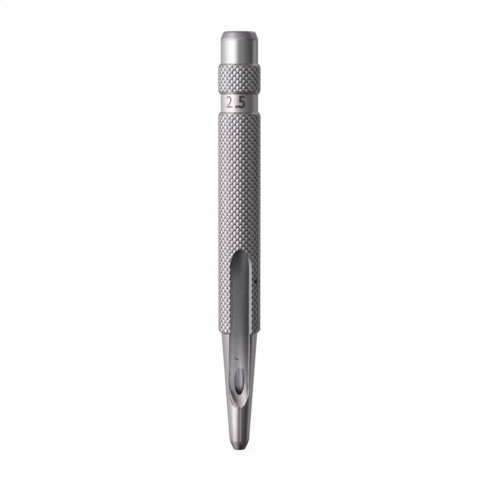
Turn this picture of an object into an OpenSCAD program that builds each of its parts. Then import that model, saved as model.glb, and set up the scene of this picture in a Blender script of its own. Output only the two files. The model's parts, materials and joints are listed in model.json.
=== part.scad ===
// Hollow punch, turned, knurled, drilled and slotted from one steel bar.
// It stands on its cutting edge: the origin is the centre of that edge, +Z runs up the axis
// to the striking face, and the slot that lets the cut slugs out opens towards -Y.

/* [Cutting tip] */
// Bore of the tip, which is the diameter of the hole that the punch cuts
bore_d = 2.5; // [1.5:0.1:3.2]
// Width of the land that is left on the cutting edge
edge_land = 0.06; // [0.02:0.01:0.2]
// Length of the bevel behind the cutting edge
tip_length = 2.3; // [1.5:0.1:4]
// Diameter where the bevel meets the nose
tip_d = 4.74; // [4.2:0.02:6]
// How far the ground bevel bulges past a straight cone
bevel_bulge = 0.09; // [0:0.01:0.12]

/* [Tapered nose] */
// Length of the smooth taper from the bevel to the shoulder of the grip
nose_length = 26.1; // [22:0.1:32]
// Diameter of the taper at that shoulder
nose_d = 8.6; // [7.6:0.1:9]
// Radius of the fillet under the shoulder
root_fillet = 0.25; // [0.1:0.05:0.3]
// Depth of the bore from the cutting edge
bore_depth = 22; // [16:0.5:30]

/* [Slug slot] */
// Width of the slot
slot_w = 4.55; // [4:0.05:6]
// Depth of the slot below the surface of the grip, at its deepest
slot_depth = 7.6; // [6:0.05:8]
// Diameter of the arc that the floor of the slot follows along the tool
slot_sweep_d = 63; // [55:1:80]
// Height of the deepest point of the slot above the cutting edge
slot_z = 28.3; // [25:0.1:32]
// How far the middle plane of the slot lies beside the axis
slot_offset = -0.3; // [-0.8:0.05:0.8]
// Width of the chamfer along the slot's right-hand lip in the grip
lip_chamfer = 0.65; // [0.2:0.05:0.8]
// Height to which that chamfer runs straight, before it fades out round the slot's end
lip_z = 42; // [36:0.5:46]

/* [Knurl] */
// Diameter over the points of the knurl, on the grip and the collar
knurl_d = 10.1; // [9.8:0.05:12]
// Depth of the crossing grooves
knurl_depth = 0.3; // [0.1:0.05:0.4]
// Length of one diamond along the tool
knurl_pitch = 1.45; // [1:0.05:2]
// Number of diamonds around the tool
knurl_count = 22; // [16:1:30]
// Height of the rounded edges of the knurled sections
edge_height = 1.3; // [0.5:0.05:2]
// How far those edges are drawn in
edge_drop = 0.45; // [0.2:0.05:0.5]

/* [Knurled grip] */
// Length of the grip from its shoulder to the size band
grip_length = 52.45; // [40:0.05:80]
// How far the foot of the grip is drawn in at the shoulder
shoulder_drop = 0.5; // [0.2:0.05:0.6]

/* [Size band] */
// Diameter of the plain band between the grip and the collar
band_d = 8.9; // [8:0.05:9]
// Length of that band
band_length = 4.2; // [3:0.1:8]

/* [Knurled collar] */
// Length of the collar
collar_length = 7.15; // [5:0.05:12]

/* [Striking head] */
// Diameter of the smooth head
head_d = 8.9; // [8.4:0.1:9]
// Length of the head above the collar
head_length = 7.6; // [5:0.1:14]
// Height of the crown, where the head is drawn in towards the face
crown_height = 1.9; // [1.4:0.1:4]
// Diameter of the flat face
face_d = 6.4; // [5:0.1:6.6]
// Radius of the rounded rim between the crown and the face
rim_radius = 0.8; // [0.3:0.05:0.9]

/* [Hidden] */
$fn = 96;

// Heights of the faces between neighbouring sections
nose_z = tip_length;
grip_z = nose_z + nose_length;
band_z = grip_z + grip_length;
collar_z = band_z + band_length;
head_z = collar_z + collar_length;

// Radii of the turned sections
bore_r = bore_d / 2;
edge_r = bore_r + edge_land;
tip_r = tip_d / 2;
nose_r = nose_d / 2;
knurl_r = knurl_d / 2;
band_r = band_d / 2;
head_r = head_d / 2;
face_r = face_d / 2;
slot_r = slot_w / 2;
sweep_r = slot_sweep_d / 2;

// The rounded edge of a knurled section: an arc that leaves the cylinder at edge_height
edge_arc_r = (edge_height * edge_height + edge_drop * edge_drop) / (2 * edge_drop);

// Cutting tools run this far past the faces that they cut
run_out = 1;

// The countersink of the right-hand lip runs this far beside the slot's middle plane
lip_shift = 0.55;

// Steps of a small turned arc
arc_steps = 12;

// How far a rounded edge is drawn in at a given distance from the end of a section
function edge_curve(gap) =
    gap < edge_height ? edge_arc_r - sqrt(pow(edge_arc_r, 2) - pow(edge_height - gap, 2)) : 0;

// Diamond-knurled bar. Its skin is a grid of rows and columns in which the points of the diamonds and
// the crossings of the grooves alternate like the squares of a chessboard, and each square is folded
// along its groove. The top edge is rounded, and the foot too, unless a straight drop is given for it.
module knurled_bar(length, foot_drop = 0) {
    columns = 2 * knurl_count;
    rows = 2 * round(length / knurl_pitch);
    row_step = length / rows;
    points = [for (row = [0:rows], column = [0:columns - 1])
        let (
            groove = (row + column) % 2 == 0 ? 0 : knurl_depth,
            foot = foot_drop == 0 ? edge_curve(row * row_step) : row == 0 ? foot_drop : 0,
            r = knurl_r - max(groove, foot, edge_curve(length - row * row_step)),
            turn = 360 * column / columns
        )
        [r * cos(turn), r * sin(turn), row * row_step]];
    skin = [for (row = [0:rows - 1], column = [0:columns - 1])
        let (
            next = (column + 1) % columns,
            low = row * columns + column,
            low_next = row * columns + next,
            high = low + columns,
            high_next = low_next + columns
        )
        each (row + column) % 2 == 0
            ? [[low, high, low_next], [low_next, high, high_next]]
            : [[low, high_next, low_next], [low, high, high_next]]];
    foot_face = [for (column = [0:columns - 1]) column];
    top_face = [for (column = [columns - 1:-1:0]) rows * columns + column];
    polyhedron(points, concat([foot_face], skin, [top_face]));
}

// Round-bottomed slot, as a wide disc with a full round rim leaves it in one plunge
module slug_slot() {
    translate([slot_offset, slot_depth - knurl_r - sweep_r, slot_z]) rotate([0, 90, 0])
        rotate_extrude($fn = 240) {
            translate([sweep_r - slot_r, 0]) circle(slot_r);
            translate([0, -slot_r]) square([sweep_r - slot_r, slot_w]);
        }
}

// Countersink with an angle of 120 degrees that is run along the slot's right-hand lip, from below the
// grip up to lip_z. Its cone reaches lip_chamfer into the surface of the grip, and stays clear of the
// left-hand lip.
module lip_countersink() {
    outer_x = slot_offset + slot_r + lip_chamfer;
    outer_y = sqrt(pow(knurl_r, 2) - pow(outer_x, 2));
    cone_r = slot_r + lip_chamfer - lip_shift;
    reach = run_out / 2;
    hull() for (z = [grip_z - 4 * run_out, lip_z])
        translate([outer_x - cone_r, reach - outer_y, z]) rotate([90, 0, 0])
            cylinder(h = 5 * reach, r1 = cone_r - reach * tan(60), r2 = cone_r + 4 * reach * tan(60));
}

// Bore drilled up from the cutting edge into the slot
module bore() {
    translate([0, 0, -run_out]) cylinder(h = bore_depth + run_out, r = bore_r);
}

module striking_head() {
    // The crown is a cone that runs smoothly into the rounded rim of the face
    rim_z = head_length - rim_radius;
    crown_w = head_r - face_r;
    crown_h = crown_height - rim_radius;
    start = acos(rim_radius / norm([crown_w, crown_h])) - atan2(crown_h, crown_w);
    rim = [for (step = [0:arc_steps])
        let (angle = start + (90 - start) * step / arc_steps)
        [face_r + rim_radius * cos(angle), rim_z + rim_radius * sin(angle)]];
    color("gainsboro") translate([0, 0, head_z]) rotate_extrude()
        polygon([[0, 0], [head_r, 0], [head_r, head_length - crown_height], each rim, [0, head_length]]);
}

module knurled_collar() {
    color("darkgray") translate([0, 0, collar_z]) knurled_bar(collar_length);
}

module size_band() {
    color("silver") translate([0, 0, band_z]) cylinder(h = band_length, r = band_r);
}

module knurled_grip() {
    color("darkgray") difference() {
        translate([0, 0, grip_z]) knurled_bar(grip_length, shoulder_drop);
        slug_slot();
        lip_countersink();
    }
}

module tapered_nose() {
    taper = (nose_r - tip_r) / nose_length;
    fillet_r = nose_r - taper * root_fillet + root_fillet;
    color("silver") difference() {
        rotate_extrude() difference() {
            polygon([
                [0, nose_z], [tip_r, nose_z], [fillet_r - root_fillet, grip_z - root_fillet],
                [fillet_r, grip_z], [0, grip_z]
            ]);
            translate([fillet_r, grip_z - root_fillet]) circle(root_fillet);
        }
        bore();
        slug_slot();
    }
}

module cutting_tip() {
    bevel = [for (step = [0:arc_steps])
        let (share = step / arc_steps)
        [edge_r + (tip_r - edge_r) * share + 4 * bevel_bulge * share * (1 - share), tip_length * share]];
    color("dimgray") difference() {
        rotate_extrude() polygon([[0, 0], each bevel, [0, tip_length]]);
        bore();
    }
}

striking_head();
knurled_collar();
size_band();
knurled_grip();
tapered_nose();
cutting_tip();
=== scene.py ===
"""Hollow punch: the finished look of a slim steel hand punch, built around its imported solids.

The six turned sections of the tool are modelled one by one, as they are made: turned on a lathe,
knurled, milled, drilled and ground. All lengths are in metres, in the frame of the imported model.
"""

import json
import math

import bmesh
import bpy
from bpy.props import FloatProperty, FloatVectorProperty, IntProperty, PointerProperty, StringProperty
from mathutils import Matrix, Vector


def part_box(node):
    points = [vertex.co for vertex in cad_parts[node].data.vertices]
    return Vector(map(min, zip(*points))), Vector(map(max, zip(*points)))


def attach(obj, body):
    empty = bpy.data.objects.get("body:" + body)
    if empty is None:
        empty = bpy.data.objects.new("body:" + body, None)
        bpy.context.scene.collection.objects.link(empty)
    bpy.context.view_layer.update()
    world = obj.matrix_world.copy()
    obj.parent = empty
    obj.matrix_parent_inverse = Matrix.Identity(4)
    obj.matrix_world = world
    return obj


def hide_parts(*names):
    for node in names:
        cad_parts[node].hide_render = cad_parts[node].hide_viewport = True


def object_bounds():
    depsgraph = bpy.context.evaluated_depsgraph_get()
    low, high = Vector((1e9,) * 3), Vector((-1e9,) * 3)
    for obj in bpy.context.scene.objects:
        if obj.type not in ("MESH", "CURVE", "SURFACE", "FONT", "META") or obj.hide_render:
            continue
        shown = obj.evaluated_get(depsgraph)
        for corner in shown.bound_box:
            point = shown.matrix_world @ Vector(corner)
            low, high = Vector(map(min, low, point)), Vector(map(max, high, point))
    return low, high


bl_info = {
    "name": "Hollow Punch",
    "version": (1, 0, 0),
    "blender": (4, 5, 0),
    "location": "View3D > Sidebar > Hollow Punch",
    "description": "Models a knurled hollow punch with its steel finishes and a small studio",
    "category": "Add Mesh",
}

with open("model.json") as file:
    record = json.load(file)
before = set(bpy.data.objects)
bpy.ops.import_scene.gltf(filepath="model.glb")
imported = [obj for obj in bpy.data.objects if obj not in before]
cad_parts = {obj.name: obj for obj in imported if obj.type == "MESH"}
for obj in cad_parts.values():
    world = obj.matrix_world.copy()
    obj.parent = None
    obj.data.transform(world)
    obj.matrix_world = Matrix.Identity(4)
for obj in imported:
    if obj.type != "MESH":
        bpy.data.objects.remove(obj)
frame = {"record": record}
CAD_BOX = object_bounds()
MM = 0.001


def section(node_name):
    """Radius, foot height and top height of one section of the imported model."""
    low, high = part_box(node_name)
    return (high.x - low.x) / 2, low.z, high.z


HEAD_RADIUS, HEAD_FOOT, HEAD_TOP = section("striking_head")
KNURL_RADIUS, COLLAR_FOOT, COLLAR_TOP = section("knurled_collar")
BAND_RADIUS, BAND_FOOT, BAND_TOP = section("size_band")
GRIP_FOOT, GRIP_TOP = section("knurled_grip")[1:]
NOSE_FOOT, NOSE_TOP = section("tapered_nose")[1:]
TIP_RADIUS, TIP_FOOT, TIP_TOP = section("cutting_tip")
BORE = next(mount for mount in frame["record"]["mounts"] if mount["name"] == "cutting_bore")

# Sides of a turned section, a multiple of the knurl's columns, and steps of a small arc
TURNED_SIDES = 176
ARC_STEPS = 12
# Rings of the light tent that the steel mirrors: name, lower and upper angle above the horizon, and the
# glow at angles to the right of the camera
TENT_RINGS = (
    ("tent_top", (75, 90), (
        (-180, 0.5), (-60, 0.8), (0, 0.5), (60, 0.3), (180, 0.5),
    )),
    ("tent_high", (50, 75), (
        (-180, 0.35), (-120, 0.8), (-60, 1.1), (-35, 0.5), (-18, 0.35), (0, 0.3), (30, 0.28),
        (50, 0.25), (90, 0.22), (150, 0.3), (180, 0.35),
    )),
    ("tent_upper", (27.5, 50), (
        (-180, 0.4), (-140, 0.6), (-110, 0.9), (-85, 1.4), (-70, 2), (-50, 2), (-38, 1.5),
        (-25, 1.15), (-10, 0.95), (0, 0.82), (25, 0.58), (45, 0.36), (66, 0.2), (85, 0.28),
        (110, 0.8), (135, 0.9), (180, 0.4),
    )),
    ("tent_brow", (12.5, 27.5), (
        (-180, 0.4), (-140, 0.6), (-125, 0.8), (-105, 1.4), (-90, 1.7), (-70, 1.9), (-40, 1.8),
        (-20, 1.35), (-9, 0.75), (0, 0.48), (28, 0.3), (53, 0.15), (72, 0.08), (95, 0.1),
        (118, 0.35), (135, 0.45), (160, 0.4), (180, 0.4),
    )),
    ("tent_side", (-7.5, 12.5), (
        (-180, 0.6), (-157, 0.54), (-110, 0.92), (-75, 1.5), (-55, 1.85), (-40, 1.85), (-30, 1.6),
        (-20, 1.2), (-9, 0.5), (0, 0.36), (15, 0.34), (28, 0.29), (40, 0.19), (53, 0.165),
        (72, 0.09), (88, 0.15), (104, 0.48), (121, 0.36), (140, 0.22), (180, 0.6),
    )),
    ("tent_waist", (-25, -7.5), (
        (-180, 0.5), (-140, 0.6), (-112, 0.8), (-96, 0.9), (-82, 1.05), (-70, 1.5), (-58, 1.75),
        (-44, 1.75), (-34, 1.45), (-24, 0.8), (-15, 0.4), (-6, 0.29), (4, 0.31), (24, 0.27),
        (34, 0.14), (56, 0.1), (78, 0.07), (92, 0.2), (108, 0.52), (126, 0.3), (180, 0.5),
    )),
    ("tent_low", (-45, -25), (
        (-180, 0.3), (-140, 0.35), (-110, 0.6), (-85, 1.1), (-65, 1.6), (-50, 1.4), (-35, 0.65),
        (-20, 0.36), (0, 0.3), (30, 0.26), (60, 0.14), (120, 0.15), (180, 0.3),
    )),
    ("tent_lower", (-65, -45), (
        (-180, 0.25), (-140, 0.35), (-110, 0.6), (-85, 1.3), (-60, 1.5), (-45, 0.85), (-28, 0.3),
        (-12, 0.17), (0, 0.17), (30, 0.12), (60, 0.1), (85, 0.1), (105, 0.25), (125, 0.2),
        (180, 0.25),
    )),
    ("tent_foot", (-90, -65), (
        (-180, 0.1), (-80, 0.4), (-50, 0.4), (-20, 0.12), (0, 0.06), (40, 0.04), (180, 0.1),
    )),
)
# Strongest glow of the tent
BRIGHTEST = 2
# Cutters reach this far past what they cut
RUN_OUT = 1 * MM
# Points that lie closer than this are merged after a cut
SLIVER = MM / 400
# Points that lie closer than this count as one point
TOUCHING = MM / 1000
# Font size for figures that are one unit high
FONT_SIZE = 1.4
# Turn past a stamped point, as a share of the turn past a figure
POINT_STEP = 0.65
# How far the figures stand above the middle of the band
FIGURE_RISE = 0.5 * MM
# Rows of diamonds' points that a knurled bar has past each end, to be turned off
SPARE_ROWS = 2


def linear(hex_colour):
    """Linear RGB of an sRGB hex colour."""
    channels = [int(hex_colour[at:at + 2], 16) / 255 for at in (1, 3, 5)]
    return [c / 12.92 if c <= 0.04045 else ((c + 0.055) / 1.055) ** 2.4 for c in channels]


def length(name, description, default):
    """A property that holds a length in metres."""
    return FloatProperty(name=name, description=description, default=default, precision=5,
                         subtype="DISTANCE", unit="LENGTH")


def colour(name, description, hex_colour):
    """A property that holds a colour, given in sRGB."""
    return FloatVectorProperty(name=name, description=description, default=linear(hex_colour),
                               subtype="COLOR", size=3, min=0, max=1)


class PunchSizes(bpy.types.PropertyGroup):
    """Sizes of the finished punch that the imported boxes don't give."""

    crown_angle: FloatProperty(name="Crown angle", description="Lean of the crown in degrees", default=20)
    face_radius: length("Face radius", "Radius of the flat striking face", 3.2 * MM)
    rim_radius: length("Rim radius", "Radius of the rounded rim of that face", 0.8 * MM)
    crown_blend: length("Crown blend", "Radius between the straight side and the crown", 2.2 * MM)
    knurl_count: IntProperty(name="Knurl count", description="Diamonds around the tool", default=22, min=8)
    knurl_pitch: length("Knurl pitch", "Length of one diamond along the tool", 1.45 * MM)
    knurl_depth: length("Knurl depth", "Depth of the grooves below the flats", 0.15 * MM)
    crest_flat: length("Crest flat", "Height that the flats cut off the diamonds' points", 0.05 * MM)
    edge_height: length("Edge height", "Height of the rounded edges of the knurl", 1.3 * MM)
    edge_drop: length("Edge drop", "How far those edges are drawn in", 0.45 * MM)
    shoulder_drop: length("Shoulder drop", "How far the foot of the grip is drawn in", 0.5 * MM)
    shoulder_height: length("Shoulder height", "Height of the chamfer at the foot of the grip", 0.55 * MM)
    nose_radius: length("Nose radius", "Radius of the taper under the shoulder", 4.3 * MM)
    root_fillet: length("Root fillet", "Radius of the fillet under the shoulder", 0.25 * MM)
    slot_width: length("Slot width", "Width of the slug slot", 4.55 * MM)
    slot_round: FloatProperty(name="Slot round", default=0.8,
                              description="Height of the slot's round floor, as a share of half its width")
    slot_spread: length("Slot spread", "How much further the slot reaches left in the nose", 0.2 * MM)
    slot_sweep: length("Slot sweep", "Radius of the arc that the slot's floor follows", 31.5 * MM)
    slot_floor: length("Slot floor", "How far the slot's deepest point lies past the axis", 2.55 * MM)
    slot_height: length("Slot height", "Height of the slot's deepest point", 28.3 * MM)
    slot_offset: length("Slot offset", "How far the slot's middle plane lies beside the axis", -0.3 * MM)
    lip_chamfer: length("Lip chamfer", "Width of the chamfer along the slot's right-hand lip", 0.65 * MM)
    lip_height: length("Lip height", "Height up to which that chamfer runs straight", 44.5 * MM)
    lip_shift: length("Lip shift", "How far its countersink runs beside the slot's middle", 0.55 * MM)
    file_radius: length("File radius", "Radius of the file that breaks the slot's edges", 0.8 * MM)
    file_lean: length("File lean", "How far the file leans left, half as far on the left-hand edge", 0.4 * MM)
    file_line: length("File line", "How deep it goes in along the right-hand edge", 0.09 * MM)
    file_bite: length("File bite", "How deep it goes in along the left-hand edge", 0.28 * MM)
    file_height: length("File height", "Height that it reaches on the left-hand edge", 15.6 * MM)
    edge_radius: length("Cutting edge", "Outer radius of the cutting edge", 1.31 * MM)
    bevel_bulge: length("Bevel bulge", "How far the ground bevel bulges past a straight cone", 0.09 * MM)
    bore_depth: length("Bore depth", "Depth of the bore from the cutting edge", 22 * MM)
    mark_height: length("Mark height", "Height of the stamped figures", 3.05 * MM)
    mark_depth: length("Mark depth", "Depth of the stamped figures", 0.36 * MM)
    mark_wedge: length("Mark wedge", "How far the sides of a stamped stroke lean in", 0.2 * MM)
    mark_lift: length("Mark lift", "How much less deep the first figure is, struck aslant", 0.18 * MM)
    mark_weight: length("Mark weight", "How far the strokes are spread past the font's", 0.11 * MM)
    mark: StringProperty(name="Mark", description="Plain number stamped on the band", default="2.5")
    mark_turn: FloatProperty(name="Mark turn", description="Direction that the first figure faces",
                             default=math.radians(-37), subtype="ANGLE", unit="ROTATION")
    mark_step: FloatProperty(name="Mark step", description="Turn from one stamped figure to the next",
                             default=math.radians(24), subtype="ANGLE", unit="ROTATION")


class PunchColours(bpy.types.PropertyGroup):
    """Colours of the steel, as each way of working leaves it."""

    head: colour("Head", "Fine-turned steel of the head", "#C8C6C7")
    crown: colour("Crown", "Crown of the head, dulled by the hammer", "#9F999F")
    knurl: colour("Knurl", "Flats and flanks of the rolled knurl", "#C4BCC2")
    collar: colour("Collar", "The same knurl on the collar, wiped clean", "#C2C1C5")
    # Painted shade: the knurl is painted darker down into its grooves
    groove: colour("Groove", "Bottom of the knurl's grooves", "#B0A9AC")
    # Painted shade at the knurl's groove crossings and at the bottom of the stamped figures; also a dark
    # fleck beside the slot and a dark mark in the slot's floor
    pit: colour("Pit", "Oil where two grooves cross, and dirt in other deep places", "#3A3538")
    nose: colour("Nose", "Turned steel of the nose", "#C4BCC0")
    band: colour("Band", "The same steel on the band, wiped clean", "#D4CDCE")
    # Painted highlight: a bright line down the front of the nose
    burnished: colour("Burnished", "Line that is rubbed bright along the nose", "#F2EEF0")
    tint: colour("Heat tint", "Brown that the hardening left near the tip", "#AEA2A8")
    slot: colour("Slot", "Milled steel in the slug slot", "#C7C7CD")
    # Painted shade at the slot's upper end
    slot_end: colour("Slot end", "The same steel at the slot's upper end, where oil stays", "#77757A")
    # Painted light lower in the slot, where it grows shallow
    slot_foot: colour("Slot foot", "The same steel lower in the slot, wiped by the slugs", "#DEDCE1")
    spoon: colour("Spoon", "The same steel at the slot's lower end, warmed by the hardening", "#C8BFC1")
    # Painted shadow along the left-hand edge of the slot's lower end, and also the colour of the grit in the
    # slot
    soot: colour("Soot", "Soot along the left-hand edge of that end, and grit in the slot", "#8C888B")
    bore: colour("Bore", "Drilled steel in the bore", "#C0BEC4")
    # Painted shade deep in the bore
    bore_foot: colour("Bore foot", "The same steel further down, with soot from the hardening", "#5A585E")
    filed: colour("Filed", "Chamfered edge of the slot in the grip", "#989698")
    # Partly a painted highlight: the filed edge in the nose is painted lighter than the same finish in the
    # grip
    rubbed: colour("Rubbed", "Filed edge of the slot in the nose", "#D0C6C8")
    # Painted shade on the walls of the stamped figures
    stamped: colour("Stamped", "Walls of the stamped figures, with dirt in them", "#A69EA1")
    edge: colour("Edge", "Ground bevel of the cutting tip", "#928489")
    scale: colour("Scale", "Specks of scale on that bevel", "#4F4448")
    floor: colour("Floor", "Pale floor of the studio", "#F4F4F4")


class PunchStudio(bpy.types.PropertyGroup):
    """Where the camera stands, and how bright the studio is."""

    azimuth: FloatProperty(name="Azimuth", description="Camera's turn to the right of the slot",
                           default=math.radians(-5), subtype="ANGLE", unit="ROTATION")
    elevation: FloatProperty(name="Elevation", description="Camera's angle above the horizon",
                             default=math.radians(5), subtype="ANGLE", unit="ROTATION")
    distance: length("Distance", "From the camera to the middle of the tool", 0.4)
    aim_height: length("Aim height", "Height that the camera looks at", 50.5 * MM)
    aim_side: length("Aim side", "How far the camera looks to the right of the axis", 0.14 * MM)
    lens: FloatProperty(name="Lens", description="Focal length in millimetres", default=126)
    key: FloatProperty(name="Key light", description="Power of the key light", default=1.2, unit="POWER")


def knurl_step(low, high, sizes):
    """Height of a row of points on a knurled section, which holds a whole number of diamonds."""
    return (high - low) / (2 * round((high - low) / sizes.knurl_pitch))


def turned_arc(centre_radius, centre_height, radius, start, end, stretch=1):
    """Stations of a turned arc between two angles, in degrees above the outward direction."""
    angles = [math.radians(start + (end - start) * step / ARC_STEPS) for step in range(ARC_STEPS + 1)]
    return [(centre_radius + radius * math.cos(angle), centre_height + stretch * radius * math.sin(angle))
            for angle in angles]


def select_only(piece):
    """Leaves one object selected and active."""
    bpy.ops.object.select_all(action="DESELECT")
    piece.select_set(True)
    bpy.context.view_layer.objects.active = piece


def name_piece(name):
    """Names the object that was just added, and puts its place into its mesh."""
    piece = bpy.context.object
    piece.name = name
    piece.data.name = name
    bpy.ops.object.transform_apply(location=True, rotation=True, scale=True)
    return piece


def pick(piece, kind, test):
    """Selects those verts, edges or faces of a piece in edit mode that pass a test."""
    bpy.ops.mesh.select_mode(type={"verts": "VERT", "edges": "EDGE", "faces": "FACE"}[kind])
    bpy.ops.mesh.select_all(action="DESELECT")
    edit = bmesh.from_edit_mesh(piece.data)
    edit.normal_update()
    for item in getattr(edit, kind):
        if test(item):
            item.select_set(True)
    edit.select_flush_mode()
    bmesh.update_edit_mesh(piece.data)


def turn(name, stations, sides=TURNED_SIDES):
    """Turns a solid: a round face is drawn up ring by ring through stations of radius and height."""
    radius, height = stations[0]
    bpy.ops.object.select_all(action="DESELECT")
    bpy.ops.mesh.primitive_circle_add(
        vertices=sides, radius=radius, fill_type="NGON", location=(0, 0, height))
    piece = name_piece(name)
    bpy.ops.object.mode_set(mode="EDIT")
    bpy.ops.mesh.select_all(action="SELECT")
    for next_radius, next_height in stations[1:]:
        bpy.ops.mesh.extrude_region_move(TRANSFORM_OT_translate={"value": (0, 0, next_height - height)})
        growth = next_radius / radius
        bpy.ops.transform.resize(value=(growth, growth, 1), center_override=(0, 0, next_height))
        radius, height = next_radius, next_height
    bpy.ops.mesh.select_all(action="SELECT")
    bpy.ops.mesh.normals_make_consistent(inside=False)
    bpy.ops.object.mode_set(mode="OBJECT")
    return piece


def cut(piece, cutter, operation="DIFFERENCE", overlaps=False):
    """Cuts a piece with another one, whose finish stays on the faces that it leaves, and clears slivers."""
    select_only(piece)
    bpy.ops.object.modifier_add(type="BOOLEAN")
    modifier = piece.modifiers[-1]
    modifier.operation = operation
    modifier.solver = "EXACT"
    modifier.material_mode = "TRANSFER"
    modifier.use_self = overlaps
    modifier.object = cutter
    bpy.ops.object.modifier_apply(modifier=modifier.name)
    bpy.data.objects.remove(cutter)
    bpy.ops.object.mode_set(mode="EDIT")
    bpy.ops.mesh.select_all(action="SELECT")
    bpy.ops.mesh.remove_doubles(threshold=SLIVER)
    bpy.ops.mesh.dissolve_degenerate(threshold=SLIVER)
    bpy.ops.mesh.delete_loose()
    bpy.ops.object.mode_set(mode="OBJECT")


def slot_cutter(sizes, finish, spread=0):
    """The wide disc with a round rim that mills the slug slot in one plunge."""
    half = (sizes.slot_width + spread) / 2
    rise = sizes.slot_round * half
    rim = turned_arc(sizes.slot_sweep - rise, 0, rise, -90, 90, 1 / sizes.slot_round)
    cutter = turn("slot_cutter", rim, sides=360)
    cutter.data.materials.append(finish)
    cutter.rotation_euler = (0, math.radians(90), 0)
    cutter.location = (
        sizes.slot_offset - spread / 2, sizes.slot_floor - sizes.slot_sweep, sizes.slot_height)
    bpy.context.view_layer.update()
    return cutter


def bore_cutter(sizes, finish):
    """The drill that opens the bore from the cutting edge into the slot."""
    radius = BORE["dims"]["r_mm"] * MM
    cutter = turn("bore_cutter", [(radius, TIP_FOOT - RUN_OUT), (radius, sizes.bore_depth)], sides=96)
    cutter.data.materials.append(finish)
    return cutter


def lip_countersink(sizes, finish):
    """The countersink of 120 degrees that is run along the slot's right-hand lip."""
    outer_x = sizes.slot_offset + sizes.slot_width / 2 + sizes.lip_chamfer
    outer_y = math.sqrt(KNURL_RADIUS ** 2 - outer_x ** 2)
    radius = sizes.slot_width / 2 + sizes.lip_chamfer - sizes.lip_shift
    slope = math.tan(math.radians(60))
    inside = RUN_OUT / 2
    outside = 2 * RUN_OUT
    bpy.ops.object.select_all(action="DESELECT")
    bpy.ops.mesh.primitive_cone_add(
        vertices=96, radius1=radius - inside * slope, radius2=radius + outside * slope,
        depth=inside + outside, rotation=(math.radians(90), 0, 0),
        location=(outer_x - radius, (inside - outside) / 2 - outer_y, sizes.lip_height))
    cutter = name_piece("lip_countersink")
    cutter.data.materials.append(finish)
    bpy.ops.object.mode_set(mode="EDIT")
    pick(cutter, "verts", lambda vert: vert.co.z < sizes.lip_height - TOUCHING)
    bpy.ops.transform.translate(value=(0, 0, GRIP_FOOT - 4 * RUN_OUT - sizes.lip_height))
    bpy.ops.object.mode_set(mode="OBJECT")
    return cutter


def file_edges(piece, sizes, finish):
    """Breaks the slot's right-hand edge, and the left one up to a height, with a round file."""
    lowest, highest = NOSE_FOOT + RUN_OUT, NOSE_TOP - MM / 100
    select_only(piece)
    bpy.ops.object.mode_set(mode="EDIT")

    def sharp(edge):
        low, high = sorted(vert.co.z for vert in edge.verts)
        inside = lowest < low < highest
        filed = edge.verts[0].co.x > 0 or high < sizes.file_height
        kinds = {face.material_index for face in edge.link_faces}
        return inside and filed and len(kinds) == 2 and 0 in kinds

    pick(piece, "edges", sharp)
    bpy.ops.mesh.duplicate()
    bpy.ops.mesh.separate(type="SELECTED")
    bpy.ops.object.mode_set(mode="OBJECT")
    round_file = next(each for each in bpy.context.selected_objects if each != piece)
    select_only(round_file)
    bpy.ops.object.mode_set(mode="EDIT")
    bpy.ops.mesh.select_all(action="SELECT")
    shortest_step = MM / 10
    bpy.ops.mesh.remove_doubles(threshold=shortest_step)
    bpy.ops.transform.translate(value=(0, -sizes.file_radius, 0))
    for side, lean in ((-1, sizes.file_lean / 2), (1, sizes.file_lean)):
        pick(round_file, "verts", lambda vert: vert.co.x * side > 0)
        level = math.sqrt(sizes.file_radius ** 2 - lean ** 2)
        bpy.ops.transform.translate(value=(-lean, sizes.file_radius - level, 0))
    bpy.ops.object.mode_set(mode="OBJECT")
    bpy.ops.object.convert(target="CURVE")
    # On the right the file is held off the lowest edge, and on the left it is let in and lifted out slowly
    held_off, let_in, lifted_out, least_share = 2.5 * MM, 1 * MM, 2 * MM, 0.03
    points = [point for spline in round_file.data.splines for point in spline.points]
    foot = min(point.co.z for point in points)
    for point in points:
        if point.co.x > 0:
            bite = sizes.file_line if point.co.z > foot + held_off else -sizes.file_line
        else:
            share = min((sizes.file_height - point.co.z) / lifted_out, (point.co.z - foot) / let_in, 1)
            bite = sizes.file_bite * max(share, least_share)
        point.radius = 1 + bite / sizes.file_radius
    round_file.data.bevel_depth = sizes.file_radius
    round_file.data.bevel_resolution = 8
    round_file.data.use_fill_caps = True
    bpy.ops.object.convert(target="MESH")
    round_file.data.materials.clear()
    round_file.data.materials.append(finish)
    cut(piece, round_file, overlaps=True)


def finish_piece(piece, node_name, smooth_angle=25):
    """Shades a piece, lets it stand for its node and ride on the tool."""
    select_only(piece)
    bpy.ops.object.shade_smooth_by_angle(angle=math.radians(smooth_angle))
    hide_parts(node_name)
    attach(piece, "root")


def node(tree, kind, inputs=None, **settings):
    """Adds a node with its settings, and sets or links its inputs."""
    made = tree.nodes.new(kind)
    for name, value in settings.items():
        setattr(made, name, value)
    for socket, value in (inputs or {}).items():
        if isinstance(value, bpy.types.NodeSocket):
            tree.links.new(value, made.inputs[socket])
        else:
            made.inputs[socket].default_value = value
    return made


def bare_steel(name, base, roughness):
    """Starts a steel: its material, node tree, shader and the place on the tool."""
    material = bpy.data.materials.new(name)
    material.use_nodes = True
    tree = material.node_tree
    shader = tree.nodes["Principled BSDF"]
    shader.inputs["Base Color"].default_value = (*base, 1)
    shader.inputs["Metallic"].default_value = 1
    shader.inputs["Roughness"].default_value = roughness
    return material, tree, shader, node(tree, "ShaderNodeTexCoord").outputs["Object"]


def shaded(tree, steel, value, low, high, next_steel, most=1):
    """A colour that goes over to the next one as a value goes from low to high."""
    share = node(tree, "ShaderNodeMapRange", {
        "Value": value, "From Min": low, "From Max": high, "To Max": most})
    return node(tree, "ShaderNodeMix", {
        0: share.outputs[0], 6: steel, 7: (*next_steel, 1)}, data_type="RGBA").outputs[2]


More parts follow.
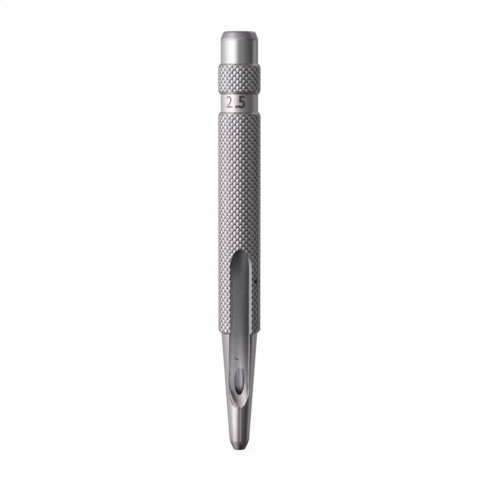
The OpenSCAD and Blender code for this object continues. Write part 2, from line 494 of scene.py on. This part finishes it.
def graded(tree, place, base, steps):
    """A colour that changes up the tool, to the next one between each two heights in millimetres."""
    up = node(tree, "ShaderNodeSeparateXYZ", {0: place}).outputs["Z"]
    steel = (*base, 1)
    for low, high, next_steel in steps:
        steel = shaded(tree, steel, up, low * MM, high * MM, next_steel)
    return steel


def fleck(tree, place, steel, spot, radius, dirt):
    """A colour with one dark fleck in it, round a spot in millimetres."""
    gap = node(tree, "ShaderNodeVectorMath", {0: place, 1: Vector(spot) * MM}, operation="DISTANCE")
    return shaded(tree, steel, gap.outputs["Value"], radius * MM, radius * MM / 2, dirt)


def tool_marks(tree, shader, place, across, strength):
    """Fine lines that a tool left: bump from a noise, with so many marks a metre along each axis."""
    stretched = node(tree, "ShaderNodeMapping", {"Vector": place, "Scale": across})
    lines = node(tree, "ShaderNodeTexNoise", {"Vector": stretched.outputs[0], "Scale": 1, "Detail": 2})
    bump = node(tree, "ShaderNodeBump", {
        "Height": lines.outputs[0], "Strength": strength, "Distance": 0.01 * MM})
    tree.links.new(bump.outputs[0], shader.inputs["Normal"])


def from_axis(tree, place):
    """Distance of a place from the axis of the tool."""
    flat = node(tree, "ShaderNodeVectorMath", {0: place, 1: (1, 1, 0)}, operation="MULTIPLY")
    return node(tree, "ShaderNodeVectorMath", {0: flat.outputs[0]}, operation="LENGTH").outputs["Value"]


def fine_turned_steel(colours):
    """Tool steel, finely turned and buffed: soft bright bands along it, and faint rings round it."""
    material, tree, shader, place = bare_steel("fine_turned_steel", colours.head, 0.2)
    # Rings of the turning feed, 0.06 mm apart, drawn at 0.3 mm so that they show
    tool_marks(tree, shader, place, (60, 60, 1 / (0.3 * MM)), 0.2)
    # The crown is dull from the blows of the hammer
    up = node(tree, "ShaderNodeSeparateXYZ", {0: place}).outputs["Z"]
    low, high = HEAD_TOP - 2.5 * MM, HEAD_TOP - 1.4 * MM
    steel = shaded(tree, (*colours.head, 1), up, low, high, colours.crown)
    tree.links.new(steel, shader.inputs["Base Color"])
    dull = node(tree, "ShaderNodeMapRange", {
        "Value": up, "From Min": low, "From Max": high, "To Min": 0.2, "To Max": 0.32})
    tree.links.new(dull.outputs[0], shader.inputs["Roughness"])
    return material


def rolled_knurl_steel(colours):
    """Tool steel, rolled with a diamond knurl: bright worn points, and painted shade in the grooves that is
    darkest where they cross.
    """
    material, tree, shader, place = bare_steel("rolled_knurl_steel", colours.knurl, 0.28)
    sizes = bpy.context.scene.punch_sizes
    parts = node(tree, "ShaderNodeSeparateXYZ", {0: place}).outputs
    steel = shaded(
        tree, (*colours.knurl, 1), parts["Z"], GRIP_TOP - 6 * MM, COLLAR_FOOT, colours.collar)
    # Painted shade, darker down into the knurl's grooves
    steel = shaded(
        tree, steel, from_axis(tree, place), KNURL_RADIUS - sizes.knurl_depth / 2,
        KNURL_RADIUS - sizes.knurl_depth, colours.groove)
    # Two waves that run across the grooves, one for each hand, add up to -1 where two grooves cross
    angle = node(tree, "ShaderNodeMath", {0: parts["Y"], 1: parts["X"]}, operation="ARCTAN2").outputs[0]
    around = node(tree, "ShaderNodeMath", {0: angle, 1: sizes.knurl_count}, operation="MULTIPLY")
    waves = []
    for low, high in ((GRIP_FOOT, GRIP_TOP), (COLLAR_FOOT, COLLAR_TOP)):
        turns = math.pi / knurl_step(low, high, sizes)
        waves.append(node(tree, "ShaderNodeMath", {
            0: parts["Z"], 1: turns, 2: -low * turns}, operation="MULTIPLY_ADD").outputs[0])
    on_collar = node(tree, "ShaderNodeMath", {0: parts["Z"], 1: BAND_TOP}, operation="GREATER_THAN")
    along = node(tree, "ShaderNodeMix", {0: on_collar.outputs[0], 2: waves[0], 3: waves[1]}).outputs[0]
    crossing = 0
    for hand, weight in (("SUBTRACT", 0.62), ("ADD", 0.38)):
        phase = node(tree, "ShaderNodeMath", {0: around.outputs[0], 1: along}, operation=hand)
        wave = node(tree, "ShaderNodeMath", {0: phase.outputs[0]}, operation="COSINE")
        crossing = node(tree, "ShaderNodeMath", {
            0: wave.outputs[0], 1: weight, 2: crossing}, operation="MULTIPLY_ADD").outputs[0]
    # Painted shade in the pits where two grooves cross
    steel = shaded(tree, steel, crossing, -0.48, -0.8, colours.pit)
    # A clot of oil on the right of the slot
    steel = fleck(tree, place, steel, (3.72, -3.42, 41), 0.75, colours.pit)
    tree.links.new(steel, shader.inputs["Base Color"])
    # Worn and dull patches of about 0.6 mm
    patches = node(tree, "ShaderNodeTexNoise", {"Vector": place, "Scale": 1 / (0.6 * MM), "Detail": 2})
    worn = node(tree, "ShaderNodeMapRange", {
        "Value": patches.outputs[0], "From Min": 0.3, "From Max": 0.7, "To Min": 0.23, "To Max": 0.33})
    tree.links.new(worn.outputs[0], shader.inputs["Roughness"])
    return material


def turned_satin_steel(colours):
    """Tool steel, turned to a satin taper: fine rings, and a brown tint of the hardening near the tip."""
    material, tree, shader, place = bare_steel("turned_satin_steel", colours.nose, 0.22)
    # Rings of the turning feed, 0.05 mm apart, drawn at 0.25 mm so that they show
    tool_marks(tree, shader, place, (80, 80, 1 / (0.25 * MM)), 0.4)
    parts = node(tree, "ShaderNodeSeparateXYZ", {0: place}).outputs
    # The band is rougher than the nose, since the stamp's burrs were rubbed down with a cloth
    on_band = node(tree, "ShaderNodeMath", {
        0: parts["Z"], 1: NOSE_TOP}, operation="GREATER_THAN").outputs[0]
    satin = node(tree, "ShaderNodeMapRange", {"Value": on_band, "To Min": 0.22, "To Max": 0.4})
    tree.links.new(satin.outputs[0], shader.inputs["Roughness"])
    steel = shaded(tree, (*colours.nose, 1), on_band, 0, 1, colours.band)
    steel = shaded(tree, steel, parts["Z"], 6 * MM, 2 * MM, colours.tint)
    # A painted highlight: a bright line runs down the front from the end of the slot
    side = node(tree, "ShaderNodeMath", {0: parts["X"]}, operation="ABSOLUTE")
    share = node(tree, "ShaderNodeMapRange", {
        "Value": side.outputs[0], "From Min": 0.18 * MM, "From Max": 0.05 * MM}).outputs[0]
    for part, limit in (("Z", 20 * MM), ("Y", 0)):
        under = node(tree, "ShaderNodeMath", {0: parts[part], 1: limit}, operation="LESS_THAN")
        share = node(tree, "ShaderNodeMath", {
            0: share, 1: under.outputs[0]}, operation="MULTIPLY").outputs[0]
    steel = shaded(tree, steel, share, 0, 1, colours.burnished)
    tree.links.new(steel, shader.inputs["Base Color"])
    return material


def milled_steel(colours):
    """Tool steel, milled with a wide disc: matt grey with faint lines, painted lighter lower down and painted
    dark as shade at the top.
    """
    material, tree, shader, place = bare_steel("milled_steel", colours.slot, 0.5)
    # Lines of the disc's teeth, 0.04 mm apart, drawn at 0.2 mm so that they show
    tool_marks(tree, shader, place, (1 / (0.2 * MM), 1 / (0.2 * MM), 40), 0.24)
    # The slot is painted lighter lower down, where it is shallow, and painted darker as shade at its upper
    # end
    steel = graded(tree, place, colours.spoon, (
        (12, 17, colours.slot_foot), (20, 28, colours.slot), (40, 48, colours.slot_end)))
    # A short dark mark in the floor, and painted shadow along the left-hand edge of the slot's lower end:
    # rows of flecks from one spot to another, whose radius gets less by a taper
    for start, end, spots, radius, taper, dirt in (
            ((-0.66, 1.77, 21.72), (-0.34, 1.8, 21.52), 2, 0.26, 0, colours.pit),
            ((-2, -1.35, 14.2), (-0.8, -2, 12), 7, 0.55, 0.25, colours.soot)):
        for share in (index / (spots - 1) for index in range(spots)):
            spot = Vector(start).lerp(Vector(end), share)
            steel = fleck(tree, place, steel, spot, radius - taper * share, dirt)
    # Grit that the slugs left, in specks of about 0.3 mm
    grit = node(tree, "ShaderNodeTexNoise", {"Vector": place, "Scale": 1 / (0.3 * MM), "Detail": 2})
    steel = shaded(tree, steel, grit.outputs[0], 0.5, 0.75, colours.soot, most=0.6)
    tree.links.new(steel, shader.inputs["Base Color"])
    return material


def drilled_steel(colours):
    """Tool steel, drilled: a dull bore, with painted shade that darkens it further down from where it opens
    into the slot.
    """
    material, tree, shader, place = bare_steel("drilled_steel", colours.bore, 0.45)
    # Rings of the drill's lips, 0.05 mm apart, drawn at 0.2 mm so that they show
    tool_marks(tree, shader, place, (60, 60, 1 / (0.2 * MM)), 0.3)
    # Painted shade: the bore is painted dark further down from where it opens into the slot
    steel = graded(tree, place, colours.bore_foot, ((13.8, 15.3, colours.bore),))
    tree.links.new(steel, shader.inputs["Base Color"])
    return material


def filed_steel(colours):
    """Tool steel, filed along an edge: a satin line of light, rubbed and partly painted lighter as a
    highlight along the nose.
    """
    material, tree, shader, place = bare_steel("filed_steel", colours.filed, 0.42)
    # Scratches of the file's teeth along the edge, 0.03 mm apart, drawn at 0.15 mm so that they show
    tool_marks(tree, shader, place, (1 / (0.15 * MM), 1 / (0.15 * MM), 100), 0.3)
    # Painted lighter along the nose, partly as a highlight
    steel = graded(tree, place, colours.tint, ((12, 14, colours.rubbed), (27.4, 28.4, colours.filed)))
    tree.links.new(steel, shader.inputs["Base Color"])
    return material


def stamped_steel(colours):
    """Tool steel, pressed in by a stamp: walls painted darker than the band as shade, and darker still
    towards their bottom.
    """
    material, tree, shader, place = bare_steel("stamped_steel", colours.stamped, 0.35)
    # Painted shade, darker towards the bottom of the strokes
    steel = shaded(
        tree, (*colours.stamped, 1), from_axis(tree, place), BAND_RADIUS - 0.05 * MM,
        BAND_RADIUS - 0.8 * MM, colours.pit)
    tree.links.new(steel, shader.inputs["Base Color"])
    return material


def ground_hardened_steel(colours):
    """Hardened tool steel, ground to an edge: brown-black at the edge, paler up the bevel."""
    material, tree, shader, place = bare_steel("ground_hardened_steel", colours.edge, 0.35)
    # Rings of the grinding wheel's grit, 0.03 mm apart, drawn at 0.15 mm so that they show
    tool_marks(tree, shader, place, (100, 100, 1 / (0.15 * MM)), 0.3)
    steel = graded(tree, place, colours.edge, ((0.3, 2.3, colours.tint),))
    # Scale from the hardening, in specks of about 0.4 mm
    specks = node(tree, "ShaderNodeTexNoise", {"Vector": place, "Scale": 1 / (0.4 * MM), "Detail": 2})
    steel = shaded(tree, steel, specks.outputs[0], 0.57, 0.74, colours.scale)
    tree.links.new(steel, shader.inputs["Base Color"])
    return material


def steel_finish(make):
    """The finish that a function makes, made when it is first asked for."""
    return bpy.data.materials.get(make.__name__) or make(bpy.context.scene.punch_colours)


class PUNCH_OT_striking_head(bpy.types.Operator):
    """Turns the smooth head with its crown and striking face"""

    bl_idname = "punch.striking_head"
    bl_label = "Striking Head"

    def execute(self, context):
        sizes = context.scene.punch_sizes
        lean = math.radians(sizes.crown_angle)
        rounding = sizes.crown_blend
        rim = turned_arc(
            sizes.face_radius, HEAD_TOP - sizes.rim_radius, sizes.rim_radius, sizes.crown_angle, 90)
        rim_radius, rim_height = rim[0]
        crown_radius = HEAD_RADIUS - rounding * (1 - math.cos(lean))
        crown_height = rim_height - (crown_radius - rim_radius) / math.tan(lean)
        blend = turned_arc(
            HEAD_RADIUS - rounding, crown_height - rounding * math.sin(lean), rounding, 0,
            sizes.crown_angle)
        stations = [(HEAD_RADIUS, HEAD_FOOT)] + blend + rim
        head = turn("striking_head_turned", stations)
        head.data.materials.append(steel_finish(fine_turned_steel))
        finish_piece(head, "striking_head")
        return {"FINISHED"}


def knurled_bar(name, low, high, sizes):
    """A bar under the knurling wheels: diamonds that still come to points, past both of its ends."""
    columns = 2 * sizes.knurl_count
    step = knurl_step(low, high, sizes)
    rows = round((high - low) / step)
    turn_step = 2 * math.pi / columns
    point_radius = KNURL_RADIUS + sizes.crest_flat
    bpy.ops.object.select_all(action="DESELECT")
    bpy.ops.mesh.primitive_cylinder_add(
        vertices=columns, radius=point_radius, depth=high - low + 2 * SPARE_ROWS * step,
        location=(0, 0, (low + high) / 2))
    bar = name_piece(name)
    bpy.ops.object.mode_set(mode="EDIT")
    pick(bar, "edges", lambda edge: abs(edge.verts[0].co.z - edge.verts[1].co.z) > step)
    bpy.ops.mesh.subdivide(number_cuts=rows + 2 * SPARE_ROWS - 1)

    def in_groove(vert):
        row = round((vert.co.z - low) / step)
        column = round(math.atan2(vert.co.y, vert.co.x) / turn_step)
        return (row + column) % 2 == 1

    pick(bar, "verts", in_groove)
    sink = (KNURL_RADIUS - sizes.knurl_depth) / point_radius
    bpy.ops.transform.resize(value=(sink, sink, 1), center_override=(0, 0, low))
    # The knurl is made of triangles, and the two flat ends stay whole
    pick(bar, "faces", lambda face: abs(face.normal.z) < 0.9)
    bpy.ops.mesh.quads_convert_to_tris(quad_method="SHORTEST_DIAGONAL")
    bpy.ops.object.mode_set(mode="OBJECT")
    return bar


def rounded_edge(end, inward, sizes):
    """Stations of a knurl's rounded edge, from the end of the section to its full radius."""
    radius = (sizes.edge_height ** 2 + sizes.edge_drop ** 2) / (2 * sizes.edge_drop)
    gaps = [sizes.edge_height * step / ARC_STEPS for step in range(ARC_STEPS + 1)]
    drops = [radius - math.sqrt(radius ** 2 - (sizes.edge_height - gap) ** 2) for gap in gaps]
    return [(KNURL_RADIUS - drop, end + inward * gap) for gap, drop in zip(gaps, drops)]


class PUNCH_OT_knurled_collar(bpy.types.Operator):
    """Knurls the collar and turns its edges round"""

    bl_idname = "punch.knurled_collar"
    bl_label = "Knurled Collar"

    def execute(self, context):
        sizes = context.scene.punch_sizes
        collar = knurled_bar("knurled_collar_rolled", COLLAR_FOOT, COLLAR_TOP, sizes)
        stations = rounded_edge(COLLAR_FOOT, 1, sizes) + rounded_edge(COLLAR_TOP, -1, sizes)[::-1]
        cut(collar, turn("collar_blank", stations), "INTERSECT")
        collar.data.materials.clear()
        collar.data.materials.append(steel_finish(rolled_knurl_steel))
        finish_piece(collar, "knurled_collar", smooth_angle=12)
        return {"FINISHED"}


class PUNCH_OT_size_band(bpy.types.Operator):
    """Turns the plain band and stamps the size on it"""

    bl_idname = "punch.size_band"
    bl_label = "Size Band"

    def execute(self, context):
        sizes = context.scene.punch_sizes
        band = turn("size_band_stamped", [(BAND_RADIUS, BAND_FOOT), (BAND_RADIUS, BAND_TOP)])
        band.data.materials.append(steel_finish(turned_satin_steel))
        facing_turn = sizes.mark_turn
        lift = sizes.mark_lift
        for figure in sizes.mark:
            cut(band, self.figure_stamp(figure, facing_turn, lift, sizes), overlaps=True)
            lift = 0
            facing_turn += sizes.mark_step * (POINT_STEP if figure == "." else 1)
        finish_piece(band, "size_band")
        return {"FINISHED"}

    def figure_stamp(self, figure, facing_turn, lift, sizes):
        """One figure of the stamp, whose strokes are wedges that lean in towards the axis."""
        bpy.ops.object.select_all(action="DESELECT")
        bpy.ops.object.text_add()
        text = bpy.context.object
        text.data.body = figure
        text.data.align_x = "CENTER"
        text.data.size = (sizes.mark_height - 2 * sizes.mark_weight) * FONT_SIZE
        text.data.offset = sizes.mark_weight - sizes.mark_wedge
        text.data.bevel_depth = sizes.mark_wedge
        text.data.bevel_resolution = 0
        text.data.extrude = sizes.mark_wedge
        text.data.resolution_u = 4
        bpy.ops.object.convert(target="MESH")
        steepness = sizes.mark_depth / sizes.mark_wedge
        text.scale = (1, 1, steepness)
        text.rotation_euler = (math.radians(90), 0, facing_turn)
        facing = Vector((math.sin(facing_turn), -math.cos(facing_turn), 0))
        foot = (BAND_FOOT + BAND_TOP - sizes.mark_height) / 2 + FIGURE_RISE
        text.location = facing * (BAND_RADIUS + sizes.mark_depth + lift) + Vector((0, 0, foot))
        stamp = name_piece("figure_stamp")
        stamp.data.materials.clear()
        stamp.data.materials.append(steel_finish(stamped_steel))
        bpy.ops.object.mode_set(mode="EDIT")
        bpy.ops.mesh.select_all(action="SELECT")
        bpy.ops.mesh.remove_doubles(threshold=TOUCHING)
        bpy.ops.mesh.normals_make_consistent(inside=False)
        bpy.ops.object.mode_set(mode="OBJECT")
        return stamp


class PUNCH_OT_knurled_grip(bpy.types.Operator):
    """Knurls the grip, chamfers its shoulder and mills the slot into it"""

    bl_idname = "punch.knurled_grip"
    bl_label = "Knurled Grip"

    def execute(self, context):
        sizes = context.scene.punch_sizes
        grip = knurled_bar("knurled_grip_rolled", GRIP_FOOT, GRIP_TOP, sizes)
        shoulder = [(KNURL_RADIUS - sizes.shoulder_drop, GRIP_FOOT),
                    (KNURL_RADIUS, GRIP_FOOT + sizes.shoulder_height)]
        cut(grip, turn("grip_blank", shoulder + rounded_edge(GRIP_TOP, -1, sizes)[::-1]), "INTERSECT")
        grip.data.materials.clear()
        grip.data.materials.append(steel_finish(rolled_knurl_steel))
        cut(grip, slot_cutter(sizes, steel_finish(milled_steel)))
        cut(grip, lip_countersink(sizes, steel_finish(filed_steel)))
        finish_piece(grip, "knurled_grip", smooth_angle=12)
        return {"FINISHED"}


class PUNCH_OT_tapered_nose(bpy.types.Operator):
    """Turns the nose, drills it and mills the slot into it"""

    bl_idname = "punch.tapered_nose"
    bl_label = "Tapered Nose"

    def execute(self, context):
        sizes = context.scene.punch_sizes
        fillet = sizes.root_fillet
        stations = [(TIP_RADIUS, NOSE_FOOT)]
        stations += turned_arc(sizes.nose_radius + fillet, NOSE_TOP - fillet, fillet, 180, 90)
        nose = turn("tapered_nose_turned", stations)
        nose.data.materials.append(steel_finish(turned_satin_steel))
        cut(nose, bore_cutter(sizes, steel_finish(drilled_steel)))
        cut(nose, slot_cutter(sizes, steel_finish(milled_steel), sizes.slot_spread))
        file_edges(nose, sizes, steel_finish(filed_steel))
        finish_piece(nose, "tapered_nose")
        return {"FINISHED"}


class PUNCH_OT_cutting_tip(bpy.types.Operator):
    """Grinds the bevelled tip with its hollow cutting edge"""

    bl_idname = "punch.cutting_tip"
    bl_label = "Cutting Tip"

    def execute(self, context):
        sizes = context.scene.punch_sizes
        stations = []
        for share in (step / ARC_STEPS for step in range(ARC_STEPS + 1)):
            cone = sizes.edge_radius + (TIP_RADIUS - sizes.edge_radius) * share
            bulge = 4 * sizes.bevel_bulge * share * (1 - share)
            stations.append((cone + bulge, TIP_FOOT + (TIP_TOP - TIP_FOOT) * share))
        tip = turn("cutting_tip_ground", stations)
        tip.data.materials.append(steel_finish(ground_hardened_steel))
        cut(tip, bore_cutter(sizes, steel_finish(drilled_steel)))
        finish_piece(tip, "cutting_tip")
        return {"FINISHED"}


class PUNCH_OT_studio(bpy.types.Operator):
    """Sets up the pale floor, the soft light and the camera"""

    bl_idname = "punch.studio"
    bl_label = "Studio"

    def execute(self, context):
        scene = context.scene
        studio = scene.punch_studio
        middle = (CAD_BOX[0] + CAD_BOX[1]) / 2
        scene.view_settings.view_transform = "Standard"
        self.white_world(scene)
        self.pale_floor(scene.punch_colours.floor)
        self.key_light(studio, middle)
        for name, tilts, glows in TENT_RINGS:
            self.tent_ring(name, studio, middle, tilts, glows)
        self.camera(scene, studio)
        return {"FINISHED"}

    def white_world(self, scene):
        """White all round, as in a light tent."""
        world = bpy.data.worlds.new("light_tent")
        world.use_nodes = True
        world.node_tree.nodes["Background"].inputs["Color"].default_value = (1, 1, 1, 1)
        world.node_tree.nodes["Background"].inputs["Strength"].default_value = 1
        scene.world = world

    def pale_floor(self, base):
        """A round pale floor that fades into the white behind it and keeps the shadow near the tool."""
        floor_radius, white_share = 1.5, 0.9
        bpy.ops.object.select_all(action="DESELECT")
        bpy.ops.mesh.primitive_circle_add(
            vertices=96, radius=floor_radius, fill_type="NGON", location=(0, 0, TIP_FOOT))
        floor = name_piece("pale_floor")
        material = bpy.data.materials.new("pale_floor_paint")
        material.use_nodes = True
        tree = material.node_tree
        paint = tree.nodes["Principled BSDF"]
        paint.inputs["Base Color"].default_value = (*base, 1)
        paint.inputs["Roughness"].default_value = 0.9
        rays = node(tree, "ShaderNodeLightPath").outputs
        seen = rays["Is Camera Ray"]
        for ray in ("Is Glossy Ray", "Is Transmission Ray"):
            seen = node(tree, "ShaderNodeMath", {0: seen, 1: rays[ray]}, operation="MAXIMUM").outputs[0]
        white = node(tree, "ShaderNodeEmission", {"Color": (1, 1, 1, 1), "Strength": 1})
        share = node(tree, "ShaderNodeMath", {0: seen, 1: white_share}, operation="MULTIPLY")
        mixed = node(tree, "ShaderNodeMixShader", {
            0: share.outputs[0], 1: paint.outputs[0], 2: white.outputs[0]})
        tree.links.new(mixed.outputs[0], tree.nodes["Material Output"].inputs["Surface"])
        floor.data.materials.append(material)
        floor.visible_glossy = False

    def key_light(self, studio, middle):
        """A large soft box to the left of the camera."""
        turn_angle = studio.azimuth + math.radians(-60)
        distance = 0.5
        direction = Vector((math.sin(turn_angle), -math.cos(turn_angle), 0))
        bpy.ops.object.light_add(type="AREA", location=middle + direction * distance)
        lamp = bpy.context.object
        lamp.name = "key_soft_box"
        lamp.data.shape = "RECTANGLE"
        lamp.data.size = 0.5
        lamp.data.size_y = 0.45
        lamp.data.energy = studio.key
        lamp.rotation_euler = direction.to_track_quat("Z", "Y").to_euler()
        lamp.visible_camera = False
        lamp.visible_glossy = False

    def tent_ring(self, name, studio, middle, tilts, glows):
        """A ring of the light tent, graded round the tool, that only the steel mirrors."""
        bpy.ops.object.select_all(action="DESELECT")
        bpy.ops.mesh.primitive_uv_sphere_add(segments=96, ring_count=72, radius=1, location=middle)
        ring = name_piece(name)
        bpy.ops.object.mode_set(mode="EDIT")

        def outside(face):
            tilt = math.degrees(math.asin((face.calc_center_median() - middle).normalized().z))
            return not tilts[0] < tilt < tilts[1]

        pick(ring, "faces", outside)
        bpy.ops.mesh.delete(type="FACE")
        bpy.ops.object.mode_set(mode="OBJECT")
        material = bpy.data.materials.new(name + "_cloth")
        material.use_nodes = True
        tree = material.node_tree
        tree.nodes.remove(tree.nodes["Principled BSDF"])
        place = node(tree, "ShaderNodeTexCoord").outputs["Object"]
        turned = node(tree, "ShaderNodeMapping", {"Vector": place, "Rotation": (0, 0, -studio.azimuth)})
        parts = node(tree, "ShaderNodeSeparateXYZ", {0: turned.outputs[0]}).outputs
        front = node(tree, "ShaderNodeMath", {0: parts["Y"], 1: -1}, operation="MULTIPLY")
        angle = node(tree, "ShaderNodeMath", {0: parts["X"], 1: front.outputs[0]}, operation="ARCTAN2")
        share = node(tree, "ShaderNodeMapRange", {
            "Value": angle.outputs[0], "From Min": -math.pi, "From Max": math.pi})
        ramp = node(tree, "ShaderNodeValToRGB", {0: share.outputs[0]})
        for index, (degrees, glow) in enumerate(glows):
            stops = ramp.color_ramp.elements
            stop = stops[index] if index < 2 else stops.new(1)
            stop.position = (degrees + 180) / 360
            stop.color = (*[glow / BRIGHTEST] * 3, 1)
        cloth = node(tree, "ShaderNodeEmission", {"Color": ramp.outputs[0], "Strength": BRIGHTEST})
        tree.links.new(cloth.outputs[0], tree.nodes["Material Output"].inputs["Surface"])
        ring.data.materials.append(material)
        ring.visible_camera = False
        ring.visible_diffuse = False
        ring.visible_shadow = False

    def camera(self, scene, studio):
        """The camera at the viewing angle of the photograph."""
        level = math.cos(studio.elevation)
        back = Vector((math.sin(studio.azimuth) * level, -math.cos(studio.azimuth) * level,
                       math.sin(studio.elevation)))
        right = Vector((math.cos(studio.azimuth), math.sin(studio.azimuth), 0))
        aim = Vector((0, 0, studio.aim_height)) + right * studio.aim_side
        bpy.ops.object.camera_add(location=aim + back * studio.distance)
        camera = bpy.context.object
        camera.name = "camera"
        camera.rotation_euler = back.to_track_quat("Z", "Y").to_euler()
        camera.data.lens = studio.lens
        camera.data.clip_start = 0.01
        scene.camera = camera


class PUNCH_PT_panel(bpy.types.Panel):
    """Lists the steps that build the punch"""

    bl_label = "Hollow Punch"
    bl_idname = "PUNCH_PT_panel"
    bl_space_type = "VIEW_3D"
    bl_region_type = "UI"
    bl_category = "Hollow Punch"

    def draw(self, context):
        for operator in OPERATORS:
            self.layout.operator(operator.bl_idname)
        scene = context.scene
        for group in (scene.punch_sizes, scene.punch_colours, scene.punch_studio):
            box = self.layout.box()
            for name in group.__annotations__:
                box.prop(group, name)


OPERATORS = (
    PUNCH_OT_striking_head,
    PUNCH_OT_knurled_collar,
    PUNCH_OT_size_band,
    PUNCH_OT_knurled_grip,
    PUNCH_OT_tapered_nose,
    PUNCH_OT_cutting_tip,
    PUNCH_OT_studio,
)
CLASSES = (PunchSizes, PunchColours, PunchStudio, *OPERATORS, PUNCH_PT_panel)


def register():
    for each in CLASSES:
        bpy.utils.register_class(each)
    bpy.types.Scene.punch_sizes = PointerProperty(type=PunchSizes)
    bpy.types.Scene.punch_colours = PointerProperty(type=PunchColours)
    bpy.types.Scene.punch_studio = PointerProperty(type=PunchStudio)


def unregister():
    del bpy.types.Scene.punch_studio
    del bpy.types.Scene.punch_colours
    del bpy.types.Scene.punch_sizes
    for each in reversed(CLASSES):
        bpy.utils.unregister_class(each)


def main():
    register()
    bpy.ops.punch.striking_head()
    bpy.ops.punch.knurled_collar()
    bpy.ops.punch.size_band()
    bpy.ops.punch.knurled_grip()
    bpy.ops.punch.tapered_nose()
    bpy.ops.punch.cutting_tip()
    bpy.ops.punch.studio()


if __name__ == "__main__":
    main()
